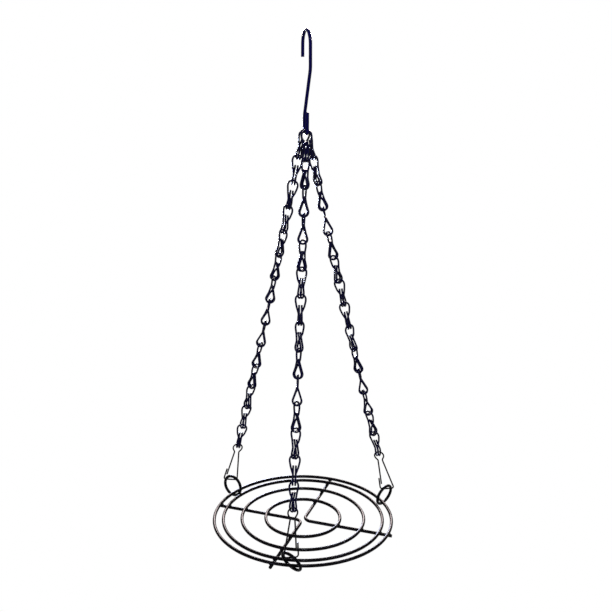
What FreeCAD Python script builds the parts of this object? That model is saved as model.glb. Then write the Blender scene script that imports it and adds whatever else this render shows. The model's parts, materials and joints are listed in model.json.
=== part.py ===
import FreeCAD, Part
import Sketcher
import math
import os

# Iron wire plant hanger: a hook, three chains of bent-wire links, three spring clips,
# three jump rings and a round tray of four wire rings on two crossed elbow wires.
# Millimetres and degrees, +Z up, +Y away from the front. The origin is the saddle, the inside top of
# the hook's arch, where the hanger rests on a rod or a ceiling hook.

Vector = FreeCAD.Vector
UP = Vector(0, 0, 1)
LEFT = Vector(-1, 0, 0)
FRONT = Vector(0, -1, 0)

SIZES = (
    ("hook_wire", 3.0, "wire of the hook"),
    ("hook_opening", 22.0, "inside width of the arch"),
    ("hook_height", 91.5, "hook from its top to the bottom of its eye"),
    ("hook_tip_drop", 22.0, "saddle down to the cut end of the tip"),
    ("hook_elbow_drop", 30.7, "saddle down to the elbow of the shank"),
    ("hook_elbow_flare", 1.0, "how far the elbow stands outside the arch"),
    ("hook_elbow_bend", 14.0, "bend of the elbow, on the wire's centre line"),
    ("hook_shank_foot", 15.0, "eye's bottom up to where the shank starts to lean"),
    ("hook_shank_bend", 10.0, "bend at the foot of the shank"),
    ("hook_eye_bend", 2.7, "bend of the eye's two bottom corners"),
    ("hook_return", 19.0, "eye's bottom up to the cut end that doubles back"),
    ("hook_angle", -75.0, "direction of the hook's plane, from +X"),
    ("eye_play", 0.4, "play around each of the three top links in the eye"),
    ("link_wire", 1.8, "wire of a chain link"),
    ("link_width", 11.0, "outside width of a link's loop"),
    ("link_pitch", 24.15, "length that each link adds to its chain"),
    ("link_hook_width", 9.8, "outside width of a link's lower hook, seen from the side"),
    ("link_wire_gap", 0.6, "gap between the two wires of the hook"),
    ("link_tip_drop", 11.2, "loop's top down to where the hook closes on the legs"),
    ("link_tip_overrun", 1.5, "how far the cut ends run on past the legs"),
    ("link_leg_spread", 7.0, "distance between the legs where the hook closes"),
    ("link_bend", 6.0, "bend of the legs"),
    ("link_shoulder", 6.0, "loop's top down to where the legs start to close in"),
    ("link_swing", 6.4, "hook's closing point down to where the legs swing out"),
    ("link_clearance", 0.85, "play between a link and what it hangs in"),
    ("link_count", 14, "links in each chain"),
    ("first_link_angle", 6.0, "how much further each first link leans out than the rest of its chain"),
    ("chain_bend_angle", 0.18, "how much each link leans out from the one above"),
    ("left_first_angle", 165.0, "way that the first left link faces"),
    ("left_step_angle", 14.5, "twist from one left link to the next"),
    ("right_first_angle", 165.0, "way that the first right link faces"),
    ("right_step_angle", -25.0, "twist from one right link to the next"),
    ("front_first_angle", 165.0, "way that the first front link faces"),
    ("front_step_angle", -28.7, "twist from one front link to the next"),
    ("left_clip_angle", 166.0, "way that the left clip faces"),
    ("right_clip_angle", 195.0, "way that the right clip faces"),
    ("front_clip_angle", -20.0, "way that the front clip faces"),
    ("clip_wire", 1.5, "wire of a spring clip"),
    ("clip_length", 47.0, "outside length of a clip"),
    ("clip_loop_width", 10.8, "outside width of the clip's top loop"),
    ("clip_waist_width", 5.9, "outside width of the clip's waist"),
    ("clip_waist_drop", 9.8, "loop's top down to the waist"),
    ("clip_back_width", 8.0, "middle of the clip out to the outside of its back leg"),
    ("clip_gate_reach", 4.8, "middle of the clip out to the gate's tip"),
    ("clip_waist_bend", 2.6, "bend of the waist"),
    ("clip_corner_bend", 2.4, "bend of the clip's two bottom corners"),
    ("clip_catch_height", 6.4, "bottom wire up to the gate's tip"),
    ("clip_catch_overlap", 7.0, "length of the gate that lies against the catch"),
    ("clip_catch_play", 0.3, "play between the gate and the catch"),
    ("clip_gate_start", 2.6, "waist down to where the gate starts to flex"),
    ("clip_gate_gap", 0.4, "gap at the flexing point"),
    ("ring_wire", 3.0, "wire of a jump ring"),
    ("ring_diameter", 24.0, "outside diameter of a jump ring"),
    ("ring_cut", 0.7, "gap between the butted ends of a jump ring"),
    ("ring_cut_angle", 52.0, "place of the cut, from the ring's lowest point"),
    ("ring_lean", 28.0, "outward lean of the jump rings"),
    ("left_ring_angle", 0.0, "turn of the left ring about its lean"),
    ("right_ring_angle", 26.0, "turn of the right ring about its lean"),
    ("front_ring_angle", 57.0, "turn of the front ring about its lean"),
    ("ring_tray_play", 0.3, "play between a jump ring and the tray's wire"),
    ("ring_clip_play", 1.1, "play between a jump ring and its clip"),
    ("tray_wire", 3.2, "wire of the tray's rings"),
    ("tray_diameter", 180.0, "outside diameter of the tray"),
    ("second_ring_step", 9.0, "outer ring in to the second, on the centre lines"),
    ("third_ring_step", 18.5, "second ring in to the third"),
    ("inner_ring_step", 23.8, "third ring in to the inner one"),
    ("cross_wire", 3.2, "wire of the two crossed elbows"),
    ("cross_overhang", 1.6, "how far the elbows' ends pass the outer ring"),
    ("cross_spacing", 0.6, "distance between the two elbows' lines at the middle"),
    ("cross_bend", 8.0, "bend of the elbows, on the centre line"),
    ("cross_angle", -19.0, "direction of the right-hand arm, from +X"),
    ("weld_gap", 0.05, "gap left for the weld between a ring and an elbow"),
    ("front_angle", -96.5, "direction of the front chain, from +X"),
)

CHAINS = ("left", "right", "front")
CHAIN_STEP = {"front": 0.0, "right": 120.0, "left": 240.0}
EYE_PLACE = {"left": -1, "right": 0, "front": 1}
TRAY_RINGS = (
    ("tray_outer_ring", None),
    ("tray_second_ring", "second_ring_step"),
    ("tray_third_ring", "third_ring_step"),
    ("tray_inner_ring", "inner_ring_step"))

doc = FreeCAD.newDocument("plant_hanger")
sheet = doc.addObject("Spreadsheet::Sheet", "sizes")
for row, (alias, value, meaning) in enumerate(SIZES, start=1):
    sheet.set(f"A{row}", meaning)
    sheet.set(f"B{row}", str(value))
    sheet.setAlias(f"B{row}", alias)
doc.recompute()


def size(alias):
    return float(sheet.get(alias))


# Directions

def direction(angle):
    turn = math.radians(angle)
    return Vector(math.cos(turn), math.sin(turn), 0)


def turned(axis_a, axis_b, angle):
    turn = math.radians(angle)
    return axis_a * math.cos(turn) + axis_b * math.sin(turn)


def frame_at(origin, x_axis, y_axis, z_axis):
    matrix = FreeCAD.Matrix(
        x_axis.x, y_axis.x, z_axis.x, origin.x,
        x_axis.y, y_axis.y, z_axis.y, origin.y,
        x_axis.z, y_axis.z, z_axis.z, origin.z,
        0, 0, 0, 1)
    return FreeCAD.Placement(matrix)


def hanging_frame(top, down, facing):
    # Z runs back up the chain; Y points away from the side that a link's cut ends show on.
    shown = turned(FRONT, LEFT, facing)
    shown = (shown - down * shown.dot(down)).normalize()
    back = shown * -1.0
    up = down * -1.0
    return frame_at(top, back.cross(up), back, up)


# Bent wire

SHORTEST_RUN = 1e-6
VOLUME_TOLERANCE = 0.01


def bent_path(points, bends):
    # Straight runs between the points, with a tangent arc of the given radius at each inner point.
    edges = []
    last = points[0]
    for before, corner, after, bend in zip(points, points[1:], points[2:], bends):
        into = (corner - before).normalize()
        out = (after - corner).normalize()
        turn = into.getAngle(out)
        cut = bend * math.tan(turn / 2.0)
        start = corner - into * cut
        end = corner + out * cut
        inward = (out - into).normalize()
        depth = bend / math.cos(turn / 2.0) - bend
        if (start - last).dot(into) < -SHORTEST_RUN:
            raise ValueError(f"bend {bend} does not fit at {corner}")
        if (start - last).Length > SHORTEST_RUN:
            edges.append(Part.LineSegment(last, start).toShape())
        else:
            start = last
        edges.append(Part.Arc(start, corner + inward * depth, end).toShape())
        last = end
    edges.append(Part.LineSegment(last, points[-1]).toShape())
    return Part.Wire(edges)


def bent_wire(name, path, diameter_alias):
    # A round wire swept along its centre line, with its diameter bound to the sheet.
    centre_line = doc.addObject("Part::Feature", f"{name}_centre_line")
    centre_line.Shape = path
    section = doc.addObject("Part::Circle", f"{name}_section")
    section.setExpression("Radius", f"sizes.{diameter_alias} / 2")
    first = path.OrderedEdges[0]
    tangent = first.tangentAt(first.FirstParameter)
    start = first.valueAt(first.FirstParameter)
    section.Placement = FreeCAD.Placement(start, FreeCAD.Rotation(UP, tangent))
    sweep = doc.addObject("Part::Sweep", name)
    sweep.Sections = [section]
    sweep.Spine = (centre_line, [])
    sweep.Solid = True
    doc.recompute()
    whole = math.pi * size(diameter_alias) ** 2 / 4.0 * path.Length
    if abs(sweep.Shape.Volume - whole) > whole * VOLUME_TOLERANCE:
        raise ValueError(f"{name}: swept volume {sweep.Shape.Volume:.2f}, expected {whole:.2f}")
    return sweep


nodes = {}


def keep(label, item):
    item.Label = label
    nodes[label] = item
    return item


def keep_copy(label, pattern, placement):
    # One more of a repeated wire form, put in its own place.
    copy = doc.addObject("Part::Feature", label)
    copy.Shape = pattern.Shape.copy()
    copy.Placement = placement
    return keep(label, copy)


# Hook

def hook_path():
    wire = size("hook_wire")
    arch = (size("hook_opening") + wire) / 2.0
    top = wire / 2.0
    bottom = eye_bottom()
    side = eye_half_width()
    points = (
        Vector(-arch, 0, -size("hook_tip_drop")),
        Vector(-arch, 0, top),
        Vector(arch, 0, top),
        Vector(arch + size("hook_elbow_flare"), 0, -size("hook_elbow_drop")),
        Vector(-side, 0, bottom + size("hook_shank_foot")),
        Vector(-side, 0, bottom),
        Vector(side, 0, bottom),
        Vector(side, 0, bottom + size("hook_return")))
    eye_bend = size("hook_eye_bend")
    bends = (arch, arch, size("hook_elbow_bend"), size("hook_shank_bend"), eye_bend, eye_bend)
    return bent_path(points, bends)


def eye_bottom():
    # Height of the centre line of the eye's bottom wire.
    return 1.5 * size("hook_wire") - size("hook_height")


def eye_spacing():
    return size("link_wire") + size("eye_play")


def eye_half_width():
    # The three top links lie side by side on the eye's bottom wire, clear of its two sides.
    room = eye_spacing() + size("link_wire") / 2.0 + size("eye_play")
    return room + size("hook_wire") / 2.0


def make_hook():
    hook = bent_wire("hook_wire_form", hook_path(), "hook_wire")
    hook.Placement = FreeCAD.Placement(Vector(0, 0, 0), FreeCAD.Rotation(UP, size("hook_angle")))
    keep("hook", hook)


# Chain links

def link_loop():
    return (size("link_width") - size("link_wire")) / 2.0


def link_seat():
    # Top of a link's loop above the bottom of the hook that carries it, on the wires' centre lines.
    # A twisted chain brings the hook's two wires to the loop at a slant.
    slant = math.cos(math.radians(max(abs(size(f"{chain}_step_angle")) for chain in CHAINS)))
    wires = size("link_wire") / 2.0 * (1.0 + 1.0 / slant) + size("link_clearance")
    return link_loop() - math.sqrt((link_loop() - wires) ** 2 - (hook_wire_place() / slant) ** 2)


def hook_wire_place():
    return (size("link_wire_gap") + size("link_wire")) / 2.0


def link_path():
    # Seen from the front the loop narrows to two wires side by side; seen from the side these swing out,
    # round the bottom and come back up to the legs as a teardrop.
    loop = link_loop()
    inner = hook_wire_place()
    leg = size("link_leg_spread") / 2.0
    close = size("link_tip_drop")
    bottom = size("link_pitch") + link_seat()
    hook_bend = (size("link_hook_width") - size("link_wire")) / 2.0
    slope = math.asin(hook_bend / (bottom - hook_bend - close))
    corner = (bottom - close) * math.tan(slope)
    swing = size("link_swing")
    bend = size("link_bend")
    overrun = size("link_tip_overrun")
    tip = Vector(inner, math.sin(slope) * overrun, math.cos(slope) * overrun - close)
    half = (
        tip,
        Vector(inner, -corner, -bottom),
        Vector(inner, corner, -bottom),
        Vector(inner, math.tan(slope) * swing, -close - swing),
        Vector(leg, 0, -close),
        Vector(loop, 0, -size("link_shoulder")),
        Vector(loop, 0, 0))
    half_bends = (hook_bend, hook_bend, bend, bend, bend, loop)
    other = [Vector(-point.x, point.y, point.z) for point in reversed(half)]
    return bent_path(list(half) + other, half_bends + tuple(reversed(half_bends)))


# Spring clips, gate on +X

def clip_reach():
    return size("clip_length") - size("clip_wire")


def clip_waist():
    return (size("clip_waist_width") - size("clip_wire")) / 2.0


def clip_back():
    return size("clip_back_width") - size("clip_wire") / 2.0


def gate_line(drop):
    # Point of the gate's centre line at this distance below the loop's top.
    waist = size("clip_waist_drop")
    tip = clip_reach() - size("clip_catch_height")
    out = clip_waist() + (size("clip_gate_reach") - clip_waist()) * (drop - waist) / (tip - waist)
    return Vector(out, 0, -drop)


def catch_line(drop):
    # The upturned end lies outside the gate, with a little play.
    return gate_line(drop) + Vector(size("clip_wire") + size("clip_catch_play"), 0, 0)


def gate_start(past_waist):
    return gate_line(size("clip_waist_drop") + past_waist)


def loop_shoulder(side):
    # Where the tangent from the waist to the round loop meets the level of the loop's top.
    loop = (size("clip_loop_width") - size("clip_wire")) / 2.0
    to_centre = size("clip_waist_drop") - loop
    reach = math.hypot(to_centre, clip_waist())
    angle = math.asin(loop / reach) - math.atan2(clip_waist(), to_centre)
    return Vector(side * (clip_waist() + size("clip_waist_drop") * math.tan(angle)), 0, 0)


def clip_path():
    bottom = clip_reach()
    waist = size("clip_waist_drop")
    loop = (size("clip_loop_width") - size("clip_wire")) / 2.0
    catch_top = bottom - size("clip_catch_height") - size("clip_catch_overlap")
    points = (
        catch_line(catch_top),
        catch_line(bottom),
        Vector(-clip_back(), 0, -bottom),
        Vector(-clip_waist(), 0, -waist),
        loop_shoulder(-1),
        loop_shoulder(1),
        Vector(clip_waist(), 0, -waist),
        gate_start(size("clip_gate_start")))
    corner = size("clip_corner_bend")
    waist_bend = size("clip_waist_bend")
    return bent_path(points, (corner, corner, waist_bend, loop, loop, waist_bend))


def gate_path():
    start = gate_start(size("clip_gate_start") + size("clip_gate_gap"))
    tip = gate_line(clip_reach() - size("clip_catch_height"))
    return Part.Wire([Part.LineSegment(start, tip).toShape()])


# Layout of the chains

def chain_angle(chain):
    return size("front_angle") + CHAIN_STEP[chain]


def chain_top(chain):
    # Top of the first link's loop. Seen along the eye's bottom wire, the loop's top, the wire and the chain
    # are in line; along the wire, the three loops keep their spacing where they pass over it.
    lift = (size("hook_wire") + size("link_wire")) / 2.0 + size("eye_play")
    wire = direction(size("hook_angle"))
    span, lean_of_span = chain_span()
    foot = tray_radius() + math.sin(math.radians(size("ring_lean"))) * clip_foot_lift()
    lean = math.degrees(math.asin(foot / span) - lean_of_span) + size("first_link_angle")
    to_top = turned(UP, direction(chain_angle(chain)) * -1.0, lean) * lift
    to_top -= wire * to_top.dot(wire)
    return Vector(0, 0, eye_bottom()) + to_top + wire * (EYE_PLACE[chain] * eye_spacing())


def ring_inside():
    return size("ring_diameter") / 2.0 - size("ring_wire")


def ring_up(chain):
    return turned(UP, direction(chain_angle(chain)), size("ring_lean"))


def ring_centre_lift():
    return ring_inside() - size("tray_wire") / 2.0 - size("ring_tray_play")


def clip_foot_lift():
    return ring_centre_lift() + ring_inside() - size("clip_wire") / 2.0 - size("ring_clip_play")


def tray_radius():
    return (size("tray_diameter") - size("tray_wire")) / 2.0


def tray_point(chain):
    return direction(chain_angle(chain)) * tray_radius() + Vector(0, 0, tray_level)


def chain_runs():
    count = int(size("link_count"))
    lengths = [size("link_pitch")] * count + [clip_reach()]
    leans = [math.radians(size("chain_bend_angle")) * index for index in range(count + 1)]
    leans[0] += math.radians(size("first_link_angle"))
    return lengths, leans


def chain_span():
    # Straight length and lean of a chain, before it is turned out to reach the tray.
    lengths, leans = chain_runs()
    out = sum(length * math.sin(lean) for length, lean in zip(lengths, leans))
    down = sum(length * math.cos(lean) for length, lean in zip(lengths, leans))
    return math.hypot(out, down), math.atan2(out, down)


def hang_depth(chain):
    # How far the tray's plane hangs below the saddle on this chain.
    foot = direction(chain_angle(chain)) * tray_radius() + ring_up(chain) * clip_foot_lift()
    apart = foot - chain_top(chain)
    level = math.hypot(apart.x, apart.y)
    span, _ = chain_span()
    return math.sqrt(span ** 2 - level ** 2) + foot.z - chain_top(chain).z


tray_level = -sum(hang_depth(chain) for chain in CHAINS) / len(CHAINS)


def chain_points(chain):
    # Tops of the links, then the top and the foot of the clip.
    top = chain_top(chain)
    foot = tray_point(chain) + ring_up(chain) * clip_foot_lift()
    apart = foot - top
    outward = Vector(apart.x, apart.y, 0).normalize()
    span, lean_of_span = chain_span()
    stretch = apart.Length / span
    base_lean = math.atan2(math.hypot(apart.x, apart.y), -apart.z) - lean_of_span
    points = [top]
    lengths, leans = chain_runs()
    for length, lean in zip(lengths, leans):
        run = turned(UP * -1.0, outward, math.degrees(base_lean + lean))
        points.append(points[-1] + run * (length * stretch))
    return points


def make_chain(chain, link_form, clip_form, gate_form):
    points = chain_points(chain)
    facing = size(f"{chain}_first_angle")
    for number, (top, below) in enumerate(zip(points[:-2], points[1:-1]), start=1):
        down = (below - top).normalize()
        keep_copy(f"{chain}_link_{number:02d}", link_form, hanging_frame(top, down, facing))
        facing += size(f"{chain}_step_angle")
    down = (points[-1] - points[-2]).normalize()
    place = hanging_frame(points[-2], down, size(f"{chain}_clip_angle"))
    keep_copy(f"{chain}_clip", clip_form, place)
    keep_copy(f"{chain}_clip_gate", gate_form, place)


# Jump rings

def make_jump_ring(chain):
    up = ring_up(chain)
    along_tray = direction(chain_angle(chain) + 90.0)
    axis = turned(along_tray, up.cross(along_tray), size(f"{chain}_ring_angle"))
    side = axis.cross(up)
    cut = turned(up * -1.0, side, size("ring_cut_angle"))
    ring = doc.addObject("Part::Torus", f"{chain}_jump_ring")
    ring.setExpression("Radius1", "(sizes.ring_diameter - sizes.ring_wire) / 2")
    ring.setExpression("Radius2", "sizes.ring_wire / 2")
    ring.setExpression("Angle3", "360 - 360 * sizes.ring_cut / (pi * (sizes.ring_diameter - sizes.ring_wire))")
    centre = tray_point(chain) + up * ring_centre_lift()
    ring.Placement = frame_at(centre, cut, axis.cross(cut), axis)
    keep(f"{chain}_jump_ring", ring)


# Tray

def make_tray_rings():
    radius = "(sizes.tray_diameter - sizes.tray_wire) / 2"
    for label, step in TRAY_RINGS:
        if step:
            radius += f" - sizes.{step}"
        ring = doc.addObject("Part::Torus", label)
        ring.setExpression("Radius1", radius)
        ring.setExpression("Radius2", "sizes.tray_wire / 2")
        ring.Placement.Base = Vector(0, 0, tray_level)
        keep(label, ring)


def plane_of(body, role):
    return next(item for item in body.Origin.OriginFeatures if item.Role == role)


def make_cross_elbow(label, angle):
    # One wire bent square near the middle of the tray: its arms lie along +X and +Y of its own body.
    body = doc.addObject("PartDesign::Body", label)
    bend = size("cross_bend")
    half = size("cross_spacing") / 2.0
    end = size("tray_diameter") / 2.0 + size("cross_overhang")
    reach = math.sqrt(end ** 2 - half ** 2) - half
    spine = body.newObject("Sketcher::SketchObject", f"{label}_centre_line")
    spine.AttachmentSupport = (plane_of(body, "XY_Plane"), [""])
    spine.MapMode = "FlatFace"
    spine.addGeometry(Part.LineSegment(Vector(reach, 0, 0), Vector(bend, 0, 0)))
    round_corner = Part.Circle(Vector(bend, bend, 0), UP, bend)
    spine.addGeometry(Part.ArcOfCircle(round_corner, math.pi, 1.5 * math.pi))
    spine.addGeometry(Part.LineSegment(Vector(0, bend, 0), Vector(0, reach, 0)))
    constraint = Sketcher.Constraint
    spine.addConstraint(constraint("Tangent", 0, 2, 1, 2))
    spine.addConstraint(constraint("Tangent", 1, 1, 2, 1))
    spine.addConstraint(constraint("PointOnObject", 0, 1, -1))
    spine.addConstraint(constraint("PointOnObject", 2, 2, -2))
    spine.addConstraint(constraint("Horizontal", 0))
    spine.addConstraint(constraint("Vertical", 2))
    arm_x = spine.addConstraint(constraint("DistanceX", -1, 1, 0, 1, reach))
    arm_y = spine.addConstraint(constraint("DistanceY", -1, 1, 2, 2, reach))
    corner = spine.addConstraint(constraint("Radius", 1, bend))
    half_cell = "sizes.cross_spacing / 2"
    end_cell = "(sizes.tray_diameter / 2 + sizes.cross_overhang)"
    reach_cell = f"sqrt({end_cell} ^ 2 - ({half_cell}) ^ 2) - {half_cell}"
    spine.setExpression(f"Constraints[{arm_x}]", reach_cell)
    spine.setExpression(f"Constraints[{arm_y}]", reach_cell)
    spine.setExpression(f"Constraints[{corner}]", "sizes.cross_bend")
    section = body.newObject("Sketcher::SketchObject", f"{label}_section")
    section.AttachmentSupport = (plane_of(body, "YZ_Plane"), [""])
    section.MapMode = "FlatFace"
    section.setExpression(".AttachmentOffset.Base.z", reach_cell)
    section.addGeometry(Part.Circle(Vector(0, 0, 0), UP, size("cross_wire") / 2.0))
    section.addConstraint(constraint("Coincident", 0, 3, -1, 1))
    radius = section.addConstraint(constraint("Radius", 0, size("cross_wire") / 2.0))
    section.setExpression(f"Constraints[{radius}]", "sizes.cross_wire / 2")
    doc.recompute()
    sweep = body.newObject("PartDesign::AdditivePipe", f"{label}_wire")
    sweep.Profile = section
    sweep.Spine = (spine, ["Edge1", "Edge2", "Edge3"])
    body.Tip = sweep
    below = (size("tray_wire") + size("cross_wire")) / 2.0 + size("weld_gap")
    centre = (direction(angle) + direction(angle + 90.0)) * half + Vector(0, 0, tray_level - below)
    body.Placement = FreeCAD.Placement(centre, FreeCAD.Rotation(UP, angle))
    keep(label, body)


# Building and writing

def check_and_write():
    doc.recompute()
    for item in doc.Objects:
        if "Invalid" in item.State or "Error" in item.State:
            raise RuntimeError(f"{item.Label} failed: {item.State}")
    for label, item in nodes.items():
        shape = item.Shape
        if shape.isNull() or not shape.isValid() or len(shape.Solids) != 1:
            raise RuntimeError(f"{label} is not one valid solid")
    os.makedirs("parts", exist_ok=True)
    for label, item in nodes.items():
        item.Shape.exportStep(f"parts/{label}.step")


make_hook()
link_form = bent_wire("link_wire_form", link_path(), "link_wire")
clip_form = bent_wire("clip_wire_form", clip_path(), "clip_wire")
gate_form = bent_wire("gate_wire_form", gate_path(), "clip_wire")
for chain in CHAINS:
    make_chain(chain, link_form, clip_form, gate_form)
    make_jump_ring(chain)
make_tray_rings()
make_cross_elbow("left_cross_wire", size("cross_angle") + 180.0)
make_cross_elbow("right_cross_wire", size("cross_angle"))
check_and_write()
print(f"{len(nodes)} pieces, tray level {tray_level:.2f}, link wire {link_path().Length:.1f} long")
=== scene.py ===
import json
import math
from typing import NamedTuple

import bpy
from bpy.props import FloatProperty, FloatVectorProperty, IntProperty, PointerProperty
from mathutils import Matrix, Vector


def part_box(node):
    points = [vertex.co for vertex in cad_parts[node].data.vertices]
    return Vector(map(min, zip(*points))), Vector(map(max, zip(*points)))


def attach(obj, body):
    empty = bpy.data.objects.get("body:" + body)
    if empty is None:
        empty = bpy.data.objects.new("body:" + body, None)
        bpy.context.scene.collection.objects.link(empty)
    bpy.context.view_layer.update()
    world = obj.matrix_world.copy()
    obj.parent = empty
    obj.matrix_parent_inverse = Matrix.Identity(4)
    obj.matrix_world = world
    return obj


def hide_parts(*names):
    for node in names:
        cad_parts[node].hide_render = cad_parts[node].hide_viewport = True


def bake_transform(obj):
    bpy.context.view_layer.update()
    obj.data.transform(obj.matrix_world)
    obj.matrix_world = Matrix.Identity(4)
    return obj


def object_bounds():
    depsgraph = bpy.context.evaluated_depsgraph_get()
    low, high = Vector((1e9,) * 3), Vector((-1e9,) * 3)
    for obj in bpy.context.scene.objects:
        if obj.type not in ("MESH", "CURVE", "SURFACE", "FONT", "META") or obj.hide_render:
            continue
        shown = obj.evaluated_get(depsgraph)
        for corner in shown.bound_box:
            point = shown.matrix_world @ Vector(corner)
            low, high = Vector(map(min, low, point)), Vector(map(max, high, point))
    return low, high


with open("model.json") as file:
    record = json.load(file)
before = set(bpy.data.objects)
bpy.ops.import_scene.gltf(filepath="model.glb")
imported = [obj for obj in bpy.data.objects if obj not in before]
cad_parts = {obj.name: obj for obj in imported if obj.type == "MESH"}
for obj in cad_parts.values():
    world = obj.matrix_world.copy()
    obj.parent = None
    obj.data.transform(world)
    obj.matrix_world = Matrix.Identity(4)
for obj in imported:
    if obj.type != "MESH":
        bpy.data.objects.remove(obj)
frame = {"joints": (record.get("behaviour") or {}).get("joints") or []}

bl_info = {
    "name": "Wire plant hanger",
    "version": (1, 0, 0),
    "blender": (4, 5, 0),
    "location": "View3D > Sidebar > Hanger",
    "description": "Dresses a wire plant hanger: hook, link chains, spring clips, jump rings and tray",
    "category": "Object",
}

# Metres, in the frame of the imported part: the origin is the saddle of the hook and +Z is up.

MM = 0.001
UP = Vector((0.0, 0.0, 1.0))
LEFT = Vector((-1.0, 0.0, 0.0))
FRONT = Vector((0.0, -1.0, 0.0))
CAD_BOX = [list(corner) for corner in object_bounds()]
JOINTS = {joint["name"]: joint for joint in frame["joints"]}
CHAINS = ("left", "right", "front")
LINKS = 14
STRANDS = 4
STRAND_LINKS = 3
TRAY_RINGS = ("tray_outer_ring", "tray_second_ring", "tray_third_ring", "tray_inner_ring")

# Fineness of the meshes

SHARP_ANGLE = math.radians(45.0)
CUT_ANGLE = math.radians(60.0)
CUT_SEGMENTS = 3
MERGE_DISTANCE = 0.002 * MM
HOOK_BEND_POINTS = 20
CROSS_BEND_POINTS = 16
GATE_BEND_STEPS = 10
RING_POINTS = 96
RING_EXTRA_SIDES = 4
WIDE_RING = 100.0 * MM
WELD_SEGMENTS = 24
WELD_ROWS = 12

# Reach of the rubbed places

SADDLE_RUB = 3.0 * MM
EYE_RUB = 3.4 * MM
LOOP_RUB = 2.6 * MM
CLIP_FOOT_RUB = 3.0 * MM
CATCH_RUB = 3.0 * MM
RING_RUB = 3.0 * MM

# Unevenness of the welds

WELD_SMALLEST = 0.86
WELD_LARGEST = 1.1
WELD_SEED = 4
WELD_GRAIN = 900.0
WELD_UNEVENNESS = 0.5 * MM

# Coat of the wires

COAT_IOR = 1.065
COAT_SMOOTHEST = 0.10
COAT_ROUGHEST = 0.16
TONE_SCALE = 120.0
TONE_DETAIL = 5.0
TONE_LIFT = 1.6
SPECKLE_SCALE = 1500.0
SPECKLE_DETAIL = 3.0
SPECKLE_STRENGTH = 0.06
SPECKLE_DEPTH = 0.03 * MM
WEAR_START = 0.12
WEAR_FULL = 0.34

# Sockets of a colour mix

MIX_SHARE = 0
MIX_FIRST = 6
MIX_SECOND = 7
MIX_RESULT = 2

# Light and camera

WHITE = (1.0, 1.0, 1.0, 1.0)
FLOOR_COLOUR = (0.9, 0.9, 0.9, 1.0)
FLOOR_ROUGHNESS = 0.9
FILL_STRENGTH = 0.5
SENSOR_WIDTH = 36.0
WARM = (1.0, 0.86, 0.85)
COOL = (0.84, 0.88, 1.0)
KEY_PLACE = (0.05, -1.0, 0.9)


class Lamp(NamedTuple):
    """A round lamp. One that only glints shows in the wires' gloss and leaves their own colour alone."""
    name: str
    place: tuple
    size: float
    power: float
    tint: tuple
    only_glints: bool = True


# Places and sizes in metres, power in watts
LAMPS = (
    Lamp("back_left", (-0.2, 1.15, 0.15), 0.38, 40.0, WARM),
    Lamp("back_right", (0.2, 1.15, 0.15), 0.38, 40.0, WARM),
    Lamp("back_low", (-0.17, 1.2, -0.36), 0.34, 30.0, (0.66, 0.74, 1.0)),
    Lamp("key", KEY_PLACE, 0.15, 17.0, COOL, only_glints=False),
    Lamp("key_glint", KEY_PLACE, 0.15, 27.0, COOL),
    Lamp("side", (0.62, -0.36, 0.45), 0.3, 12.0, (0.66, 0.7, 1.0)),
    Lamp("low", (-0.6, -0.9, -0.6), 0.25, 9.0, (0.55, 0.56, 1.0)))


def joint_place(name):
    return Vector(JOINTS[name]["pos_m"])


def joint_axis(name):
    return Vector(JOINTS[name]["axis"]).normalized()


def length(name, description, default):
    return FloatProperty(
        name=name, description=description, default=default, unit="LENGTH", precision=5)


def angle(name, description, degrees):
    return FloatProperty(
        name=name, description=description, default=math.radians(degrees), unit="ROTATION")


def colour(name, description, default):
    return FloatVectorProperty(
        name=name, description=description, default=default, subtype="COLOR", min=0, max=1)


# Sizes and finishes that a user may change

class HookSizes(bpy.types.PropertyGroup):
    wire: length("Wire", "Diameter of the hook's wire", 3.0 * MM)
    opening: length("Opening", "Inside width of the arch", 22.0 * MM)
    tip_drop: length("Tip drop", "Saddle down to the cut end of the tip", 22.0 * MM)
    elbow_drop: length("Elbow drop", "Saddle down to the elbow of the shank", 30.7 * MM)
    elbow_flare: length("Elbow flare", "How far the elbow stands outside the arch", 1.0 * MM)
    elbow_bend: length("Elbow bend", "Bend of the elbow, on the centre line", 14.0 * MM)
    shank_foot: length("Shank foot", "Eye's bottom up to where the shank starts to lean", 15.0 * MM)
    shank_bend: length("Shank bend", "Bend at the foot of the shank", 10.0 * MM)
    eye_half_width: length("Eye half width", "Middle of the eye to the centre line of its side", 5.0 * MM)
    eye_bend: length("Eye bend", "Bend of the eye's two bottom corners", 2.7 * MM)
    return_height: length("Return", "Eye's bottom up to the cut end that doubles back", 19.0 * MM)


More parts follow.
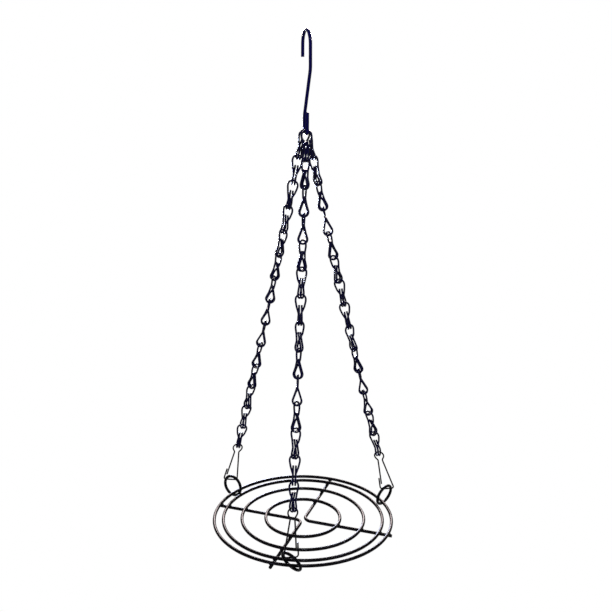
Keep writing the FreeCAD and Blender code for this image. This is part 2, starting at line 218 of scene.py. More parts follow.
class LinkSizes(bpy.types.PropertyGroup):
    wire: length("Wire", "Diameter of a link's wire", 1.8 * MM)
    width: length("Width", "Outside width of a link's loop", 11.0 * MM)
    depth: length("Depth", "Loop's top down to the bottom of the hook, on the centre lines", 27.544 * MM)
    hook_width: length("Hook width", "Outside width of the lower hook, seen from the side", 9.8 * MM)
    wire_gap: length("Wire gap", "Gap between the two wires of the hook", 0.6 * MM)
    tip_drop: length("Tip drop", "Loop's top down to where the hook closes on the legs", 11.2 * MM)
    tip_overrun: length("Tip overrun", "How far the cut ends run on past the legs", 1.5 * MM)
    leg_spread: length("Leg spread", "Distance between the legs where the hook closes", 7.0 * MM)
    bend: length("Leg bend", "Bend of the legs", 6.0 * MM)
    shoulder: length("Shoulder", "Loop's top down to where the legs start to close in", 6.0 * MM)
    swing: length("Swing", "Hook's closing point down to where the legs swing out", 6.4 * MM)
    first_lean: angle("First lean", "How much further each first link leans out", 6.0)
    bow: angle("Bow", "How much each link leans out from the one above", 0.18)
    left_first: angle("Left facing", "Way that the first left link faces", 165.0)
    left_step: angle("Left twist", "Twist from one left link to the next", 14.5)
    right_first: angle("Right facing", "Way that the first right link faces", 165.0)
    right_step: angle("Right twist", "Twist from one right link to the next", -25.0)
    front_first: angle("Front facing", "Way that the first front link faces", 165.0)
    front_step: angle("Front twist", "Twist from one front link to the next", -28.7)


class ClipSizes(bpy.types.PropertyGroup):
    wire: length("Wire", "Diameter of the clip's wire", 1.5 * MM)
    reach: length("Reach", "Loop's top down to the bottom wire, on the centre lines", 45.5 * MM)
    loop_width: length("Loop width", "Outside width of the top loop", 10.8 * MM)
    waist_width: length("Waist width", "Outside width of the waist", 5.9 * MM)
    waist_drop: length("Waist drop", "Loop's top down to the waist", 9.8 * MM)
    back_width: length("Back width", "Middle of the clip out to the outside of its back leg", 8.0 * MM)
    gate_reach: length("Gate reach", "Middle of the clip out to the gate's tip", 4.8 * MM)
    waist_bend: length("Waist bend", "Bend of the waist", 2.6 * MM)
    corner_bend: length("Corner bend", "Bend of the two bottom corners", 2.4 * MM)
    catch_height: length("Catch height", "Bottom wire up to the gate's tip", 6.4 * MM)
    catch_overlap: length("Catch overlap", "Length of the gate that lies against the catch", 7.0 * MM)
    catch_play: length("Catch play", "Play between the gate and the catch", 0.3 * MM)
    gate_start: length("Gate start", "Waist down to where the gate starts to flex", 2.6 * MM)
    gate_flex: length("Gate flex", "Stretch of the gate that bends as it opens", 7.0 * MM)


class RingSizes(bpy.types.PropertyGroup):
    wire: length("Wire", "Diameter of a jump ring's wire", 3.0 * MM)
    diameter: length("Diameter", "Outside diameter of a jump ring", 24.0 * MM)
    cut: length("Cut", "Gap between the butted ends", 0.7 * MM)
    cut_turn: angle("Cut place", "Place of the cut, from the ring's lowest point", 52.0)


class TraySizes(bpy.types.PropertyGroup):
    overhang: length("Overhang", "How far the cross wires pass the outer ring", 1.6 * MM)
    spacing: length("Spacing", "Distance between the two cross wires at the middle", 0.6 * MM)
    bend: length("Bend", "Bend of the cross wires, on the centre line", 8.0 * MM)
    turn: angle("Turn", "Direction of the right-hand arm, from +X", -19.0)
    weld_length: length("Weld length", "Length of a weld along the upper wire", 4.4 * MM)
    weld_width: length("Weld width", "Width of a weld across the upper wire", 4.0 * MM)
    weld_height: length("Weld height", "Height of a weld between the two wires", 1.7 * MM)


class Finishes(bpy.types.PropertyGroup):
    hook: colour("Hook", "Enamel of the hook", (0.0015, 0.0011, 0.0270))
    chain: colour("Chain", "Blackened wire of the links", (0.0022, 0.0020, 0.0140))
    clip: colour("Clips", "Blackened spring wire of the clips", (0.0022, 0.0020, 0.0031))
    ring: colour("Jump rings", "Blackened wire of the jump rings", (0.0018, 0.0018, 0.0026))
    tray: colour("Tray", "Enamel of the tray", (0.0028, 0.0024, 0.0031))
    steel: colour("Steel", "Rubbed wire where pieces touch", (0.062, 0.058, 0.058))
    sides: IntProperty(name="Sides", description="Sides of a round wire", default=20, min=8)
    bend_points: IntProperty(name="Bend points", description="Points along each bend", default=10, min=4)
    cut_edge: length("Cut edge", "Rounding of the wires' cut ends", 0.16 * MM)


class StageSizes(bpy.types.PropertyGroup):
    camera: FloatVectorProperty(name="Camera", description="Place of the camera",
                                default=(-0.0034, -0.8699, 0.0226), subtype="XYZ", unit="LENGTH")
    target: FloatVectorProperty(name="Target", description="Point that the camera looks at",
                                default=(0.0, 0.0, -0.2489), subtype="XYZ", unit="LENGTH")
    roll: angle("Roll", "Roll of the camera", 0.437)
    lens: FloatProperty(name="Lens", description="Focal length on a 36 mm sensor",
                        default=57.36, unit="CAMERA")
    shift: FloatVectorProperty(name="Shift", description="Shift of the lens, sideways and up",
                               default=(0.0025, 0.0031), size=2, precision=4)
    floor_drop: length("Floor drop", "Lowest wire of the tray down to the floor", 0.45)
    floor_size: length("Floor size", "Width of the floor", 12.0)


# Meshes

def new_piece(mesh, name):
    # A finished mesh as a piece at the origin.
    mesh.name = name
    mesh.set_sharp_from_angle(angle=SHARP_ANGLE)
    piece = bpy.data.objects.new(name, mesh)
    bpy.context.scene.collection.objects.link(piece)
    return piece


def ready(mesh, name, body, node):
    # A piece that rides on its body and stands for its CAD node.
    piece = new_piece(mesh, name)
    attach(piece, body)
    if node:
        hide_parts(node)


def node_result(name, mesh, shape, inputs, cut_edge=0.0):
    # Runs a node tree on a mesh and returns the outcome as a plain mesh.
    holder = bpy.data.objects.new(name, mesh)
    bpy.context.scene.collection.objects.link(holder)
    modifier = holder.modifiers.new(shape.name, "NODES")
    modifier.node_group = shape
    items = shape.interface.items_tree
    sockets = {item.name: item.identifier for item in items if item.in_out == "INPUT"}
    for label, value in inputs.items():
        modifier[sockets[label]] = value
    if cut_edge > 0.0:
        edges = holder.modifiers.new("cut edges", "BEVEL")
        edges.limit_method = "ANGLE"
        edges.angle_limit = CUT_ANGLE
        edges.width = cut_edge
        edges.segments = CUT_SEGMENTS
    depsgraph = bpy.context.evaluated_depsgraph_get()
    result = bpy.data.meshes.new_from_object(holder.evaluated_get(depsgraph), depsgraph=depsgraph)
    bpy.data.objects.remove(holder)
    bpy.data.meshes.remove(mesh)
    if not result.polygons:
        raise RuntimeError(f"{name}: the node tree gave no faces")
    result.materials.clear()
    result.materials.append(inputs["Material"])
    return result


# Node trees

class NodeMaker:
    """Adds nodes and links to one node tree."""

    def __init__(self, tree):
        self.tree = tree

    def join(self, node, links):
        # A socket takes a link from another socket, or a plain value.
        for socket, source in links.items():
            target = node.inputs[socket]
            if isinstance(source, bpy.types.NodeSocket):
                self.tree.links.new(source, target)
            else:
                target.default_value = source

    def add(self, kind, links=None, **settings):
        node = self.tree.nodes.new(kind)
        for key, value in settings.items():
            setattr(node, key, value)
        self.join(node, links or {})
        return node.outputs


class ShapeMaker(NodeMaker):
    """Builds one geometry node tree with named inputs."""

    def __init__(self, name, inputs):
        super().__init__(bpy.data.node_groups.new(name, "GeometryNodeTree"))
        interface = self.tree.interface
        for label, kind in inputs:
            interface.new_socket(name=label, in_out="INPUT", socket_type=kind)
        interface.new_socket(name="Piece", in_out="OUTPUT", socket_type="NodeSocketGeometry")
        self.given = self.tree.nodes.new("NodeGroupInput").outputs

    def half(self, socket):
        return self.add("ShaderNodeMath", {0: socket, 1: 0.5}, operation="MULTIPLY")[0]

    def end(self, geometry):
        whole = self.add("GeometryNodeRealizeInstances", {0: geometry})[0]
        material = self.given["Material"]
        dressed = self.add("GeometryNodeSetMaterial", {"Geometry": whole, "Material": material})[0]
        self.add("NodeGroupOutput", {"Piece": dressed})
        return self.tree

    def round_wire(self, line):
        # Sweeps a round section along a curve and closes its ends.
        radius = self.half(self.given["Wire"])
        section = self.add("GeometryNodeCurvePrimitiveCircle", {
            "Resolution": self.given["Sides"],
            "Radius": radius})[0]
        tube = self.add("GeometryNodeCurveToMesh", {
            "Curve": line,
            "Profile Curve": section,
            "Fill Caps": True})[0]
        merged = self.add("GeometryNodeMergeByDistance", {
            "Geometry": tube,
            "Distance": MERGE_DISTANCE})[0]
        return self.add("GeometryNodeSetShadeSmooth", {"Geometry": merged})[0]


WIRE_INPUTS = (
    ("Wire", "NodeSocketFloat"),
    ("Sides", "NodeSocketInt"),
    ("Material", "NodeSocketMaterial"))


def bent_wire_tree():
    # A line of corner points, each with its own bend, becomes a round wire.
    line = (("Line", "NodeSocketGeometry"), ("Bend Points", "NodeSocketInt"))
    maker = ShapeMaker("bent_wire", line + WIRE_INPUTS)
    curve = maker.add("GeometryNodeMeshToCurve", {"Mesh": maker.given["Line"]})[0]
    bend = maker.add("GeometryNodeInputNamedAttribute", {"Name": "bend"}, data_type="FLOAT")[0]
    rounded = maker.add("GeometryNodeFilletCurve", {
        "Curve": curve,
        "Radius": bend,
        "Count": maker.given["Bend Points"]}, mode="POLY")[0]
    return maker.end(maker.round_wire(rounded))


def open_ring_tree():
    # A round wire ring with a narrow cut, its axis along Z and its cut on +X.
    sizes = (
        ("Piece", "NodeSocketGeometry"),
        ("Radius", "NodeSocketFloat"),
        ("Cut", "NodeSocketFloat"),
        ("Points", "NodeSocketInt"))
    maker = ShapeMaker("open_ring", sizes + WIRE_INPUTS)
    radius = maker.given["Radius"]
    cut_angle = maker.add("ShaderNodeMath", {0: maker.given["Cut"], 1: radius}, operation="DIVIDE")[0]
    sweep = maker.add("ShaderNodeMath", {0: math.tau, 1: cut_angle}, operation="SUBTRACT")[0]
    arc = maker.add("GeometryNodeCurveArc", {
        "Resolution": maker.given["Points"],
        "Radius": radius,
        "Start Angle": maker.half(cut_angle),
        "Sweep Angle": sweep})[0]
    return maker.end(maker.round_wire(arc))


def closed_ring_tree():
    sizes = (
        ("Piece", "NodeSocketGeometry"),
        ("Radius", "NodeSocketFloat"),
        ("Points", "NodeSocketInt"))
    maker = ShapeMaker("closed_ring", sizes + WIRE_INPUTS)
    circle = maker.add("GeometryNodeCurvePrimitiveCircle", {
        "Resolution": maker.given["Points"],
        "Radius": maker.given["Radius"]})[0]
    return maker.end(maker.round_wire(circle))


def weld_tree():
    # A small uneven nugget at each point, turned by the point's own angle.
    inputs = (
        ("Points", "NodeSocketGeometry"),
        ("Size", "NodeSocketVector"),
        ("Unevenness", "NodeSocketFloat"),
        ("Seed", "NodeSocketInt"),
        ("Material", "NodeSocketMaterial"))
    maker = ShapeMaker("weld_nuggets", inputs)
    ball = maker.add("GeometryNodeMeshUVSphere", {
        "Segments": WELD_SEGMENTS,
        "Rings": WELD_ROWS,
        "Radius": 0.5})[0]
    turn = maker.add("GeometryNodeInputNamedAttribute", {"Name": "turn"}, data_type="FLOAT")[0]
    spin = maker.add("ShaderNodeCombineXYZ", {"Z": turn})[0]
    # Of the random node's outputs the first is a vector and the second a number.
    share = maker.add("FunctionNodeRandomValue", {
        "Min": WELD_SMALLEST,
        "Max": WELD_LARGEST,
        "Seed": maker.given["Seed"]}, data_type="FLOAT")[1]
    size = maker.given["Size"]
    scale = maker.add("ShaderNodeVectorMath", {0: size, "Scale": share}, operation="SCALE")[0]
    nuggets = maker.add("GeometryNodeInstanceOnPoints", {
        "Points": maker.given["Points"], "Instance": ball, "Rotation": spin, "Scale": scale})[0]
    whole = maker.add("GeometryNodeRealizeInstances", {0: nuggets})[0]
    noise = maker.add("ShaderNodeTexNoise", {"Scale": WELD_GRAIN, "Detail": 1.0})
    middle = (0.5, 0.5, 0.5)
    centred = maker.add("ShaderNodeVectorMath", {0: noise["Color"], 1: middle}, operation="SUBTRACT")[0]
    amount = maker.given["Unevenness"]
    offset = maker.add("ShaderNodeVectorMath", {0: centred, "Scale": amount}, operation="SCALE")[0]
    uneven = maker.add("GeometryNodeSetPosition", {"Geometry": whole, "Offset": offset})[0]
    return maker.end(maker.add("GeometryNodeSetShadeSmooth", {"Geometry": uneven})[0])


def shared_tree(name, make):
    return bpy.data.node_groups.get(name) or make()


# Wire forms

def corner_line(name, points, bends):
    # A line through the corner points; the first and last have no bend.
    mesh = bpy.data.meshes.new(name)
    mesh.from_pydata(points, [(i, i + 1) for i in range(len(points) - 1)], [])
    attribute = mesh.attributes.new("bend", "FLOAT", "POINT")
    attribute.data.foreach_set("value", [0.0, *bends, 0.0])
    return mesh


def bent_wire(name, points, bends, wire, material, bend_points=None):
    finish = bpy.context.scene.hanger_finishes
    inputs = {
        "Wire": wire,
        "Sides": finish.sides,
        "Bend Points": bend_points or finish.bend_points,
        "Material": material}
    line = corner_line(name, points, bends)
    shape = shared_tree("bent_wire", bent_wire_tree)
    return node_result(name, line, shape, inputs, finish.cut_edge)


def rub(mesh, places):
    # Marks the surface near each place, within its reach, as rubbed by a neighbouring piece.
    values = []
    for vertex in mesh.vertices:
        near = max(1.0 - (vertex.co - place).length / reach for place, reach in places)
        values.append(max(0.0, near))
    attribute = mesh.attributes.new("rubbed", "FLOAT", "POINT")
    attribute.data.foreach_set("value", values)


def axes_at(origin, x_axis, y_axis, z_axis):
    turn = Matrix((x_axis, y_axis, z_axis)).transposed().to_4x4()
    return Matrix.Translation(origin) @ turn


# Hook

def eye_bottom():
    return joint_place("tray_swing").z


def hook_corners(sizes):
    arch = (sizes.opening + sizes.wire) / 2.0
    top = sizes.wire / 2.0
    bottom = eye_bottom()
    side = sizes.eye_half_width
    points = (
        Vector((-arch, 0, -sizes.tip_drop)),
        Vector((-arch, 0, top)),
        Vector((arch, 0, top)),
        Vector((arch + sizes.elbow_flare, 0, -sizes.elbow_drop)),
        Vector((-side, 0, bottom + sizes.shank_foot)),
        Vector((-side, 0, bottom)),
        Vector((side, 0, bottom)),
        Vector((side, 0, bottom + sizes.return_height)))
    bends = (arch, arch, sizes.elbow_bend, sizes.shank_bend, sizes.eye_bend, sizes.eye_bend)
    return points, bends


def make_hook(sizes, finish):
    points, bends = hook_corners(sizes)
    material = enamel("hook_enamel", finish.hook)
    mesh = bent_wire("hook_wire", points, bends, sizes.wire, material, HOOK_BEND_POINTS)
    saddle = Vector((0, 0, 0))
    eye = Vector((0, 0, eye_bottom() + sizes.wire / 2.0))
    rub(mesh, ((saddle, SADDLE_RUB), (eye, EYE_RUB)))
    along = joint_axis("tray_swing")
    mesh.transform(axes_at(saddle, along, UP.cross(along), UP))
    ready(mesh, "hook_wire", "hook", "hook")


# Chains

def chain_tops(sizes, chain):
    # Tops of the loops of all the links, then the top of the clip.
    # Below the first link the chain bows a little.
    second = joint_place(f"{chain}_chain_bow")
    chord = joint_place(f"{chain}_clip_bow") - second
    across = Vector((chord.y, -chord.x, 0)).normalized()
    turns = [sizes.bow * (index - LINKS / 2.0 + 1.0) for index in range(LINKS - 1)]
    pitch = chord.length / sum(math.cos(turn) for turn in turns)
    run = chord.normalized() * pitch
    first_turn = turns[0] - sizes.bow + sizes.first_lean
    tops = [second - Matrix.Rotation(first_turn, 3, across) @ run, second]
    for turn in turns:
        tops.append(tops[-1] + Matrix.Rotation(turn, 3, across) @ run)
    return tops


def link_body(chain, number):
    # A first link swings with the tray; the rest move in strands of three, the last of them of four.
    if number == 1:
        return "tray"
    strand = min((number - 2) // STRAND_LINKS + 1, STRANDS)
    return f"{chain}_strand_{strand}"


def hanging_axes(top, down, facing):
    # Z runs back up the chain; Y points away from the side that a link's cut ends show on.
    shown = FRONT * math.cos(facing) + LEFT * math.sin(facing)
    shown = (shown - down * shown.dot(down)).normalized()
    back = -shown
    up = -down
    return axes_at(top, back.cross(up), back, up)


def link_corners(sizes):
    # Seen from the front the loop narrows to two wires side by side.
    # Seen from the side these swing out, round the bottom and come back up to the legs as a teardrop.
    loop = (sizes.width - sizes.wire) / 2.0
    inner = (sizes.wire_gap + sizes.wire) / 2.0
    leg = sizes.leg_spread / 2.0
    close = sizes.tip_drop
    bottom = sizes.depth
    hook_bend = (sizes.hook_width - sizes.wire) / 2.0
    slope = math.asin(hook_bend / (bottom - hook_bend - close))
    corner = (bottom - close) * math.tan(slope)
    tip_out = math.sin(slope) * sizes.tip_overrun
    tip_up = math.cos(slope) * sizes.tip_overrun - close
    half = (
        Vector((inner, tip_out, tip_up)),
        Vector((inner, -corner, -bottom)),
        Vector((inner, corner, -bottom)),
        Vector((inner, math.tan(slope) * sizes.swing, -close - sizes.swing)),
        Vector((leg, 0, -close)),
        Vector((loop, 0, -sizes.shoulder)),
        Vector((loop, 0, 0)))
    half_bends = (hook_bend, hook_bend, sizes.bend, sizes.bend, sizes.bend, loop)
    other = tuple(Vector((-point.x, point.y, point.z)) for point in reversed(half))
    return half + other, half_bends + tuple(reversed(half_bends))


def make_chains(sizes, finish):
    points, bends = link_corners(sizes)
    material = enamel("chain_blackening", finish.chain)
    form = bent_wire("link_form", points, bends, sizes.wire, material)
    seats = (Vector((0, 0, -sizes.wire / 2.0)), Vector((0, 0, sizes.wire / 2.0 - sizes.depth)))
    rub(form, [(seat, LOOP_RUB) for seat in seats])
    for chain in CHAINS:
        tops = chain_tops(sizes, chain)
        facing = getattr(sizes, f"{chain}_first")
        for number in range(1, LINKS + 1):
            top = tops[number - 1]
            down = (tops[number] - top).normalized()
            node = f"{chain}_link_{number:02d}"
            mesh = form.copy()
            mesh.transform(hanging_axes(top, down, facing))
            ready(mesh, f"{node}_wire", link_body(chain, number), node)
            facing += getattr(sizes, f"{chain}_step")
    bpy.data.meshes.remove(form)


# Spring clips, gate on +X

def gate_point(sizes, drop):
    waist = (sizes.waist_width - sizes.wire) / 2.0
    tip = sizes.reach - sizes.catch_height
    share = (drop - sizes.waist_drop) / (tip - sizes.waist_drop)
    return Vector((waist + (sizes.gate_reach - waist) * share, 0, -drop))


def catch_point(sizes, drop):
    # The upturned end lies outside the gate, with a little play.
    return gate_point(sizes, drop) + Vector((sizes.wire + sizes.catch_play, 0, 0))


def loop_shoulder(sizes, side):
    # Where the tangent from the waist to the round loop meets the level of the loop's top.
    loop = (sizes.loop_width - sizes.wire) / 2.0
    waist = (sizes.waist_width - sizes.wire) / 2.0
    to_centre = sizes.waist_drop - loop
    tangent = math.asin(loop / math.hypot(to_centre, waist)) - math.atan2(waist, to_centre)
    return Vector((side * (waist + sizes.waist_drop * math.tan(tangent)), 0, 0))


def clip_corners(sizes):
    waist = (sizes.waist_width - sizes.wire) / 2.0
    loop = (sizes.loop_width - sizes.wire) / 2.0
    catch_top = sizes.reach - sizes.catch_height - sizes.catch_overlap
    points = (
        catch_point(sizes, catch_top),
        catch_point(sizes, sizes.reach),
        Vector((sizes.wire / 2.0 - sizes.back_width, 0, -sizes.reach)),
        Vector((-waist, 0, -sizes.waist_drop)),
        loop_shoulder(sizes, -1),
        loop_shoulder(sizes, 1),
        Vector((waist, 0, -sizes.waist_drop)),
        gate_point(sizes, sizes.waist_drop + sizes.gate_start))
    corner = sizes.corner_bend
    return points, (corner, corner, sizes.waist_bend, loop, loop, sizes.waist_bend)


def gate_line(sizes, steps):
    # The gate's straight run, divided where it bends as it opens.
    start = sizes.waist_drop + sizes.gate_start
    drops = [start + sizes.gate_flex * step / steps for step in range(steps + 1)]
    drops.append(sizes.reach - sizes.catch_height)
    return [gate_point(sizes, drop) for drop in drops]


def make_clips(sizes, finish):
    material = enamel("clip_blackening", finish.clip)
    points, bends = clip_corners(sizes)
    clip_form = bent_wire("clip_form", points, bends, sizes.wire, material)
    loop_seat = Vector((0, 0, -sizes.wire / 2.0))
    foot_seat = Vector((0, 0, sizes.wire / 2.0 - sizes.reach))
    rub(clip_form, ((loop_seat, LOOP_RUB), (foot_seat, CLIP_FOOT_RUB)))
    line = gate_line(sizes, GATE_BEND_STEPS)
    gate_form = bent_wire("gate_form", line, [0.0] * (len(line) - 2), sizes.wire, material)
    rub(gate_form, ((catch_point(sizes, sizes.reach - sizes.catch_height), CATCH_RUB),))
    for chain in CHAINS:
        tops = chain_tops(bpy.context.scene.hanger_links, chain)
        last = (tops[-1] - tops[-2]).normalized()
        before = (tops[-2] - tops[-3]).normalized()
        down = (last * 2.0 - before).normalized()
        back = joint_axis(f"{chain}_clip_gate_flex")
        place = axes_at(tops[-1], back.cross(-down), back, -down)
        clip = clip_form.copy()
        clip.transform(place)
        ready(clip, f"{chain}_clip_wire", f"{chain}_clip", f"{chain}_clip")
        gate = gate_form.copy()
        gate.transform(place)
        make_gate(chain, gate)
    bpy.data.meshes.remove(clip_form)
    bpy.data.meshes.remove(gate_form)


def make_gate(chain, mesh):
    # The gate leaves the clip as one wire. Its piece is baked in place and is not attached to any body.
    gate = new_piece(mesh, f"{chain}_clip_gate_wire")
    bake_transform(gate)
    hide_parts(f"{chain}_clip_gate")


# Jump rings

def rim_point(centre):
    # Middle of the tray's outer wire below a jump ring's centre.
    low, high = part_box("tray_outer_ring")
    radius = (high.x - low.x - high.z + low.z) / 2.0
    outward = Vector((centre.x, centre.y, 0)).normalized()
    return outward * radius + UP * (high.z + low.z) / 2.0


def make_jump_rings(sizes, finish):
    material = enamel("ring_blackening", finish.ring)
    inputs = {
        "Radius": (sizes.diameter - sizes.wire) / 2.0,
        "Cut": sizes.cut,
        "Points": RING_POINTS,
        "Wire": sizes.wire,
        "Sides": finish.sides + RING_EXTRA_SIDES,
        "Material": material}
    for chain in CHAINS:
        name = f"{chain}_jump_ring"
        axis = joint_axis(f"{chain}_ring_spin")
        centre = joint_place(f"{chain}_ring_spin")
        low = (rim_point(centre) - centre).normalized()
        cut = low * math.cos(sizes.cut_turn) + axis.cross(-low) * math.sin(sizes.cut_turn)
        shape = shared_tree("open_ring", open_ring_tree)
        mesh = node_result(name, bpy.data.meshes.new(name), shape, inputs, finish.cut_edge)
        mesh.transform(axes_at(centre, cut, axis.cross(cut), axis))
        rub(mesh, ((centre + low * inputs["Radius"], RING_RUB),))
        ready(mesh, f"{name}_wire", name, name)


# Tray

def ring_points(radius):
    # A wider ring has more points.
    return int(RING_POINTS * (1.0 + radius / WIDE_RING))


def make_tray_rings(wire, level, finish, material):
    radii = []
    for ring in TRAY_RINGS:
        low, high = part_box(ring)
        radius = (high.x - low.x - wire) / 2.0
        radii.append(radius)
        inputs = {
            "Radius": radius,
            "Points": ring_points(radius),
            "Wire": wire,
            "Sides": finish.sides,
            "Material": material}
        shape = shared_tree("closed_ring", closed_ring_tree)
        mesh = node_result(ring, bpy.data.meshes.new(ring), shape, inputs)
        mesh.transform(Matrix.Translation((0, 0, level)))
        ready(mesh, f"{ring}_wire", "tray", ring)
    return radii


def make_cross_wires(sizes, wire, level, radii, material):
    # Each wire is bent square and has two arms. Returns the places where the arms cross the rings,
    # with the way that the arm runs.
    half = sizes.spacing / 2.0
    end = radii[0] + wire / 2.0 + sizes.overhang
    reach = math.sqrt(end ** 2 - half ** 2) - half
    points = (Vector((reach, 0, 0)), Vector((0, 0, 0)), Vector((0, reach, 0)))
    crossings = []
    for node, turn in (("right_cross_wire", sizes.turn), ("left_cross_wire", sizes.turn + math.pi)):
        mesh = bent_wire(node, points, (sizes.bend,), wire, material, CROSS_BEND_POINTS)
        place = Matrix.Rotation(turn, 4, "Z") @ Matrix.Translation((half, half, 0))
        mesh.transform(Matrix.Translation((0, 0, level)) @ place)
        ready(mesh, f"{node}_bar", "tray", node)
        for radius in radii:
            along = math.sqrt(radius ** 2 - half ** 2) - half
            crossings.append((place @ Vector((along, 0, 0)), turn))
            crossings.append((place @ Vector((0, along, 0)), turn + math.pi / 2.0))
    return crossings


def make_tray(sizes, finish):
    material = enamel("tray_enamel", finish.tray)
    low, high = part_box("tray_outer_ring")
    wire = high.z - low.z
    level = (high.z + low.z) / 2.0
    cross_level = level - wire - (low.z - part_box("left_cross_wire")[1].z)
    radii = make_tray_rings(wire, level, finish, material)
    crossings = make_cross_wires(sizes, wire, cross_level, radii, material)
    make_welds(sizes, crossings, (level + cross_level) / 2.0, material)


def make_welds(sizes, crossings, level, material):
    name = "tray_welds"
    mesh = bpy.data.meshes.new(name)
    mesh.from_pydata([(place.x, place.y, level) for place, _ in crossings], [], [])
    attribute = mesh.attributes.new("turn", "FLOAT", "POINT")
    attribute.data.foreach_set("value", [turn for _, turn in crossings])
    inputs = {
        "Size": (sizes.weld_width, sizes.weld_length, sizes.weld_height),
        "Unevenness": WELD_UNEVENNESS,
        "Seed": WELD_SEED,
        "Material": material}
    welds = node_result(name, mesh, shared_tree("weld_nuggets", weld_tree), inputs)
    ready(welds, name, "tray", None)


# Finishes

def mixed(maker, share, first, second):
    links = {MIX_SHARE: share, MIX_FIRST: first, MIX_SECOND: second}
    return maker.add("ShaderNodeMix", links, data_type="RGBA")[MIX_RESULT]


def fine_noise(maker, place, scale, detail):
    return maker.add("ShaderNodeTexNoise", {"Vector": place, "Scale": scale, "Detail": detail})["Fac"]


def worn_share(maker, speckle):
    # How much of the coat is gone: most in the middle of a rubbed place, broken up by the speckle.
    rubbed = maker.add("ShaderNodeAttribute", attribute_name="rubbed")["Fac"]
    broken = maker.add("ShaderNodeMath", {0: rubbed, 1: speckle}, operation="MULTIPLY")[0]
    return maker.add("ShaderNodeMapRange", {
        "Value": broken,
        "From Min": WEAR_START,
        "From Max": WEAR_FULL})["Result"]


def enamel(name, base):
    # Glossy black coat: fine unevenness, a faint change of tone and dull steel where pieces rub.
    material = bpy.data.materials.new(name)
    material.use_nodes = True
    maker = NodeMaker(material.node_tree)
    place = maker.add("ShaderNodeTexCoord")["Object"]
    tone = fine_noise(maker, place, TONE_SCALE, TONE_DETAIL)
    speckle = fine_noise(maker, place, SPECKLE_SCALE, SPECKLE_DETAIL)
    lighter = [channel * TONE_LIFT for channel in base]
    shades = mixed(maker, tone, (*base, 1.0), (*lighter, 1.0))
    steel = (*bpy.context.scene.hanger_finishes.steel, 1.0)
    coat = mixed(maker, worn_share(maker, speckle), shades, steel)
    roughness = maker.add("ShaderNodeMapRange", {
        "Value": tone,
        "To Min": COAT_SMOOTHEST,
        "To Max": COAT_ROUGHEST})["Result"]
    bump = maker.add("ShaderNodeBump", {
        "Height": speckle,
        "Strength": SPECKLE_STRENGTH,
        "Distance": SPECKLE_DEPTH})["Normal"]
    maker.join(maker.tree.nodes["Principled BSDF"], {
        "Base Color": coat,
        "Roughness": roughness,
        "IOR": COAT_IOR,
        "Normal": bump})
    return material


# Stage

def white_for_sight(maker):
    # 1 for what the camera, a reflection or a see-through surface looks at, else 0.
    path = maker.add("ShaderNodeLightPath")
    share = path["Is Camera Ray"]
    for ray in ("Is Glossy Ray", "Is Transmission Ray"):
        share = maker.add("ShaderNodeMath", {0: share, 1: path[ray]}, operation="MAXIMUM")[0]
    return share


def floor_white():
    material = bpy.data.materials.new("floor_white")
    material.use_nodes = True
    maker = NodeMaker(material.node_tree)
    shader = maker.tree.nodes["Principled BSDF"]
    maker.join(shader, {"Base Color": FLOOR_COLOUR, "Roughness": FLOOR_ROUGHNESS})
    glow = maker.add("ShaderNodeEmission")[0]
    surface = maker.add("ShaderNodeMixShader", {
        0: white_for_sight(maker),
        1: shader.outputs[0],
        2: glow})[0]
    maker.join(maker.tree.nodes["Material Output"], {"Surface": surface})
    return material


def make_floor(sizes):
    half = sizes.floor_size / 2.0
    level = CAD_BOX[0][2] - sizes.floor_drop
    mesh = bpy.data.meshes.new("floor")
    corners = ((-half, -half), (half, -half), (half, half), (-half, half))
    mesh.from_pydata([(x, y, level) for x, y in corners], [], [(0, 1, 2, 3)])
    floor = bpy.data.objects.new("floor", mesh)
    bpy.context.scene.collection.objects.link(floor)
    mesh.materials.append(floor_white())


def make_world():
    world = bpy.data.worlds.new("studio")
    world.use_nodes = True
    maker = NodeMaker(world.node_tree)
    strength = maker.add("ShaderNodeMapRange", {
        "Value": white_for_sight(maker),
        "To Min": FILL_STRENGTH,
        "To Max": 1.0})["Result"]
    maker.join(maker.tree.nodes["Background"], {"Color": WHITE, "Strength": strength})
    bpy.context.scene.world = world


def make_lamp(lamp, target):
    data = bpy.data.lights.new(lamp.name, "AREA")
    data.shape = "DISK"
    data.size = lamp.size
    data.energy = lamp.power
    data.color = lamp.tint
    light = bpy.data.objects.new(lamp.name, data)
    light.location = lamp.place
    light.rotation_euler = (Vector(target) - Vector(lamp.place)).to_track_quat("-Z", "Y").to_euler()
    light.visible_diffuse = not lamp.only_glints
    bpy.context.scene.collection.objects.link(light)


def make_camera(sizes):
    data = bpy.data.cameras.new("camera")
    data.sensor_width = SENSOR_WIDTH
    data.lens = sizes.lens
    data.shift_x, data.shift_y = sizes.shift
    camera = bpy.data.objects.new("camera", data)
    place = Vector(sizes.camera)
    look = (Vector(sizes.target) - place).to_track_quat("-Z", "Y").to_matrix().to_4x4()
    camera.matrix_world = Matrix.Translation(place) @ look @ Matrix.Rotation(sizes.roll, 4, "Z")
    bpy.context.scene.collection.objects.link(camera)
    bpy.context.scene.camera = camera


def make_stage(sizes):
    bpy.context.scene.view_settings.view_transform = "Standard"
    make_world()
    make_floor(sizes)
    for lamp in LAMPS:
        make_lamp(lamp, sizes.target)
    make_camera(sizes)


# Operators

class HANGER_OT_hook(bpy.types.Operator):
    """Bend the hook from one wire"""
    bl_idname = "hanger.hook"
    bl_label = "Hook"

    def execute(self, context):
        make_hook(context.scene.hanger_hook, context.scene.hanger_finishes)
        return {"FINISHED"}


class HANGER_OT_chains(bpy.types.Operator):
    """Bend the links and hang them in three twisted chains"""
    bl_idname = "hanger.chains"
    bl_label = "Chains"

    def execute(self, context):
        make_chains(context.scene.hanger_links, context.scene.hanger_finishes)
        return {"FINISHED"}


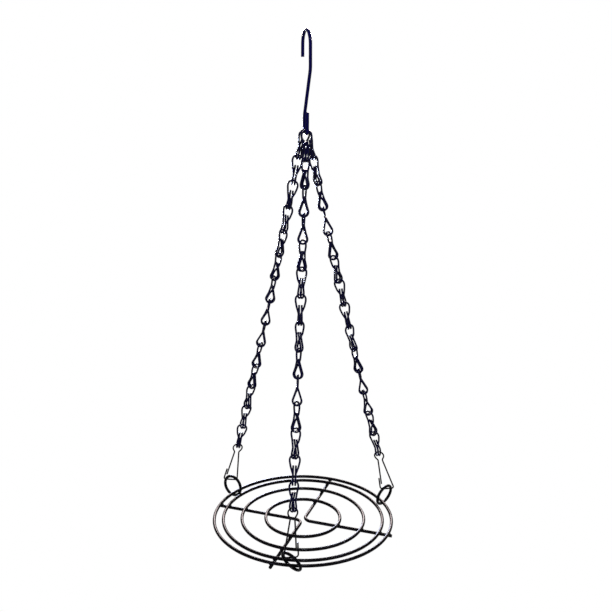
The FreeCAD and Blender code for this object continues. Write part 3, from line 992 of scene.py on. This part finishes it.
class HANGER_OT_clips(bpy.types.Operator):
    """Bend the spring clips and their gates"""
    bl_idname = "hanger.clips"
    bl_label = "Spring clips"

    def execute(self, context):
        make_clips(context.scene.hanger_clips, context.scene.hanger_finishes)
        return {"FINISHED"}


class HANGER_OT_jump_rings(bpy.types.Operator):
    """Make the jump rings between the clips and the tray"""
    bl_idname = "hanger.jump_rings"
    bl_label = "Jump rings"

    def execute(self, context):
        make_jump_rings(context.scene.hanger_rings, context.scene.hanger_finishes)
        return {"FINISHED"}


class HANGER_OT_tray(bpy.types.Operator):
    """Make the tray's rings, cross wires and welds"""
    bl_idname = "hanger.tray"
    bl_label = "Tray"

    def execute(self, context):
        make_tray(context.scene.hanger_tray, context.scene.hanger_finishes)
        return {"FINISHED"}


class HANGER_OT_stage(bpy.types.Operator):
    """Set up the white floor, the lamps and the camera"""
    bl_idname = "hanger.stage"
    bl_label = "Stage"

    def execute(self, context):
        make_stage(context.scene.hanger_stage)
        return {"FINISHED"}


class HANGER_PT_panel(bpy.types.Panel):
    bl_idname = "HANGER_PT_panel"
    bl_label = "Wire plant hanger"
    bl_space_type = "VIEW_3D"
    bl_region_type = "UI"
    bl_category = "Hanger"

    def draw(self, context):
        for setting, group in SETTINGS:
            box = self.layout.box()
            sizes = getattr(context.scene, setting)
            for name in group.__annotations__:
                box.prop(sizes, name)
        for operator in OPERATORS:
            self.layout.operator(operator.bl_idname)


SETTINGS = (
    ("hanger_hook", HookSizes),
    ("hanger_links", LinkSizes),
    ("hanger_clips", ClipSizes),
    ("hanger_rings", RingSizes),
    ("hanger_tray", TraySizes),
    ("hanger_finishes", Finishes),
    ("hanger_stage", StageSizes))
OPERATORS = (
    HANGER_OT_hook,
    HANGER_OT_chains,
    HANGER_OT_clips,
    HANGER_OT_jump_rings,
    HANGER_OT_tray,
    HANGER_OT_stage)


def register():
    for setting, group in SETTINGS:
        bpy.utils.register_class(group)
        setattr(bpy.types.Scene, setting, PointerProperty(type=group))
    for operator in OPERATORS:
        bpy.utils.register_class(operator)
    bpy.utils.register_class(HANGER_PT_panel)


def unregister():
    bpy.utils.unregister_class(HANGER_PT_panel)
    for operator in reversed(OPERATORS):
        bpy.utils.unregister_class(operator)
    for setting, group in reversed(SETTINGS):
        delattr(bpy.types.Scene, setting)
        bpy.utils.unregister_class(group)


def main():
    register()
    bpy.ops.hanger.hook()
    bpy.ops.hanger.chains()
    bpy.ops.hanger.clips()
    bpy.ops.hanger.jump_rings()
    bpy.ops.hanger.tray()
    bpy.ops.hanger.stage()


if __name__ == "__main__":
    main()
